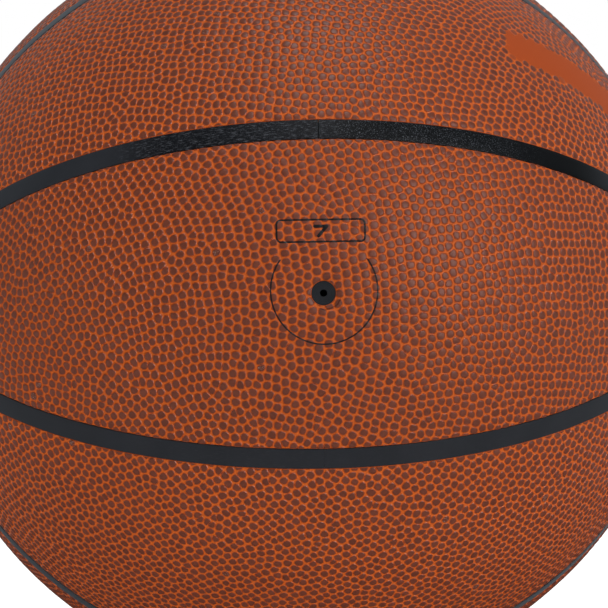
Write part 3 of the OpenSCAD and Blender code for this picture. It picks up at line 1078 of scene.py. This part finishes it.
def valve_piece(material):
    """The plug: a needle hole, a face with faint turning rings and a rounded rim, the body and the
    locking bulb."""
    hole_end = VALVE_FACE - NEEDLE_L
    mouth, rim, ring_depth, ring_pitch = 0.14 * MM, 0.12 * MM, 0.012 * MM, 0.42 * MM
    bend = np.linspace(0, pi / 2, 6)
    mouth_curve = stack([NEEDLE_R + mouth * (1 - np.cos(bend)), VALVE_FACE - mouth * (1 - np.sin(bend))], 1)
    across = np.linspace(NEEDLE_R + 1.3 * mouth, VALVE_HEAD_R - 1.3 * rim, 40)
    wave = 1 + np.cos(across * 2 * pi / ring_pitch)
    rings = stack([across, VALVE_FACE - ring_depth * wave], 1)
    rim_curve = stack([VALVE_HEAD_R - rim * (1 - np.sin(bend)), VALVE_FACE - rim * (1 - np.cos(bend))], 1)
    bed = VALVE_FACE - VALVE_HEAD_T
    profile = join([
        [[0, hole_end], [NEEDLE_R, hole_end]], mouth_curve, rings, rim_curve,
        [[VALVE_HEAD_R, bed], [VALVE_BODY_R, bed], [VALVE_BODY_R, VALVE_END + VALVE_BULB_L],
         [VALVE_BULB_R, VALVE_END + VALVE_BULB_L], [VALVE_BODY_R, VALVE_END], [0, VALVE_END]],
    ])
    piece = lathe("valve_face_and_stem", profile, 72)
    dress(piece, "valve_plug", material)


def add_panels():
    leather, printed = cover_leather(False), cover_leather(True)
    for seed, name in enumerate(PANELS):
        made = panel_mesh(name, PANEL_SEED + seed)
        piece = new_mesh(name.replace("panel", "cover"), made.points, made.faces,
                         {"OFBake": made.bake_uv, "Pebble": made.uv}, made.normals)
        fill(piece.data.attributes.new("bare", "FLOAT", "POINT").data, "value", made.bare)
        fill(piece.data.attributes.new("tone", "FLOAT", "FACE").data, "value", made.tone)
        dress(piece, name, printed if name == "panel_front" else leather)


def add_strips():
    rubber, worn = seam_rubber("seam_rubber", 0.1), seam_rubber("worn_seam_rubber", 1.0)
    crossing = TURN_CENTRE - TURN_R
    clear = (SEAM_W / 2 + BUTT_GAP) / BALL_R
    over = cross_seam(crossing + clear, pi - crossing - clear)
    stub = cross_seam(clear, crossing - clear)
    for node, path, flip in (
        ("ring_strip", ring_seam(), (1, 1, 1)),
        ("loop_strip_high", loop_seam(), (1, 1, 1)),
        ("loop_strip_low", loop_seam(), (1, 1, -1)),
        ("cross_strip_high", over, (1, 1, 1)),
        ("cross_strip_low", over, (1, 1, -1)),
        ("stub_strip_right_high", stub, (1, 1, 1)),
        ("stub_strip_right_low", stub, (1, 1, -1)),
        ("stub_strip_left_high", stub, (-1, 1, 1)),
        ("stub_strip_left_low", stub, (-1, 1, -1)),
    ):
        add_strip(node, path, flip, worn if node == "loop_strip_high" else rubber)


def paint(nodes, material):
    for node in nodes:
        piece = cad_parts[node]
        if not piece.material_slots:
            piece.data.materials.append(material)
        for held in piece.material_slots:
            held.material = material


def paint_layers():
    paint([name.replace("panel", "pad") for name in PANELS], sponge())
    paint(["thread_winding"], wound_thread())
    for node, name, dark, light, lump in (
        ("rubber_carcass", "carcass_rubber", (34, 37, 36), (48, 51, 49), 8 * MM),
        ("bladder", "bladder_butyl", (26, 26, 28), (36, 36, 39), 20 * MM),
        ("bladder_patch", "patch_butyl", (46, 46, 48), (58, 58, 60), 6 * MM),
        ("valve_seat", "seat_rubber", (38, 40, 42), (50, 52, 54), 4 * MM),
    ):
        paint([node], plain_rubber(name, dark, light, lump))


# The camera's place, turn and focal length match the photograph's
CAMERA_PLACE = (-0.05566, -1.01829, -0.01947)
CAMERA_RIGHT = (0.99830, -0.05530, -0.01866)
CAMERA_UP = (0.01762, -0.01934, 0.99966)
SENSOR = 36.0
FRAME_PIXELS = 608
FOCAL_PIXELS = 3226

# Strength of the even light, of what glossy rays see in front of the ball and behind it, of the floor's
# glow to the camera and to other rays, and of what glossy rays see of the floor beside the ball. Then the
# floor's half size, and between which places the brightness for glossy rays rises: in the room along Y as a
# direction, and on the floor behind and beside the ball in metres.
ROOM_LIGHT = 0.42
ROOM_FRONT = 0.03
ROOM_BACK = 0.48
FLOOR_GLOW = 0.62
FLOOR_BOUNCE = 0.42
FLOOR_SIDE = 0.5
FLOOR_HALF = 6.0
ROOM_RISES = (-0.3, 0.9)
FLOOR_BACK_RISES = (0.05, 0.6)
FLOOR_SIDE_RISES = (0.1, 0.4)

# The lamps: name, place, width, height of a rectangle (None is a disc), power, and whether matt and glossy
# rays see it
LAMPS = (
    ("key", (1.05, -1.45, 0.8), 0.8, None, 7.3, True, False),
    ("softbox", (1.25, -1.54, 0.2), 1.0, 2.0, 31, False, True),
    ("high_softbox", (0.06, -1.27, 1.54), 1.0, None, 6.5, False, True),
    ("top", (0.2, -0.35, 1.9), 0.8, None, 12, True, True),
    ("left", (-1.9, -0.35, 0), 1.0, None, 2.3, True, True),
    ("right", (1.9, -0.35, 0.2), 1.0, None, 2.2, True, False),
)


def add_camera():
    lens = bpy.data.cameras.new("camera")
    lens.sensor_width = SENSOR
    lens.lens = SENSOR * FOCAL_PIXELS / FRAME_PIXELS
    lens.clip_start, lens.clip_end = 0.01, 50
    camera = add_object("camera", lens)
    right = Vector(CAMERA_RIGHT).normalized()
    up = (Vector(CAMERA_UP) - right * right.dot(Vector(CAMERA_UP))).normalized()
    turn = Matrix((right, up, right.cross(up))).transposed().to_4x4()
    camera.matrix_world = Matrix.Translation(CAMERA_PLACE) @ turn
    bpy.context.scene.camera = camera


def add_floor():
    """A pale floor. Camera and clear rays see it lit up to white, and its shadow stays. Glossy rays see it
    bright behind the ball and beside it, and dim in front of it."""
    square = np.array([[-1, -1, 0], [1, -1, 0], [1, 1, 0], [-1, 1, 0]]) * FLOOR_HALF
    floor = new_mesh("floor", square - (0, 0, BALL_R), np.array([[0, 1, 2, 3]]))
    sheet = Sheet("pale_floor")
    seen = sheet.rays("Camera").at_least(sheet.rays("Transmission"))
    matt = sheet.node("BsdfDiffuse", {"Color": (0.9, 0.9, 0.9, 1)})
    lit, bounced = (sheet.node("AddShader", {0: matt, 1: sheet.glow(strength)})
                    for strength in (FLOOR_GLOW, FLOOR_BOUNCE))
    shaded = sheet.node("MixShader", {"Fac": seen, 1: bounced, 2: lit})
    x, y, _ = sheet.axes(sheet.place())
    behind = sheet.ease(y, *FLOOR_BACK_RISES, ROOM_FRONT, ROOM_BACK)
    beside = sheet.ease(abs(x), *FLOOR_SIDE_RISES, ROOM_FRONT, FLOOR_SIDE)
    paper = sheet.glow(behind.at_least(beside))
    sheet.end(sheet.node("MixShader", {"Fac": sheet.rays("Glossy"), 1: shaded, 2: paper}))
    floor.data.materials.append(sheet.owner)


def add_light(name, place, width, height, power, seen_matt, seen_glossy):
    """A soft lamp that looks at the ball."""
    lamp = bpy.data.lights.new(name, "AREA")
    lamp.shape = "RECTANGLE" if height else "DISK"
    lamp.size = width
    lamp.size_y = height or width
    lamp.energy = power
    light = add_object(name, lamp)
    light.location = place
    light.visible_diffuse, light.visible_glossy = seen_matt, seen_glossy
    light.rotation_euler = (-Vector(place)).to_track_quat("-Z", "Y").to_euler()


def add_world():
    """White to camera and clear rays. Glossy rays see the white paper behind the ball and a dim room in
    front of it, and the rest is an even soft light."""
    sheet = Sheet("studio", bpy.data.worlds)
    white = sheet.rays("Camera").at_least(sheet.rays("Transmission"))
    _, y, _ = sheet.axes(sheet.node("TexCoord", output="Generated"))
    mirrored = sheet.ease(y, *ROOM_RISES, ROOM_FRONT, ROOM_BACK)
    glossy = sheet.rays("Glossy")
    strength = white + (1 - white) * (glossy * mirrored + (1 - glossy) * ROOM_LIGHT)
    light = sheet.node("Background", {"Color": (1, 1, 1, 1), "Strength": strength})
    bpy.context.scene.world = sheet.end(light, "World")


add_camera()
add_world()
add_floor()
for lamp in LAMPS:
    add_light(*lamp)
add_panels()
add_strips()
valve_piece(plain_rubber("valve_rubber", (32, 34, 37), (38, 40, 44), 3 * MM))
paint_layers()

bpy.context.scene.view_settings.view_transform = "Standard"
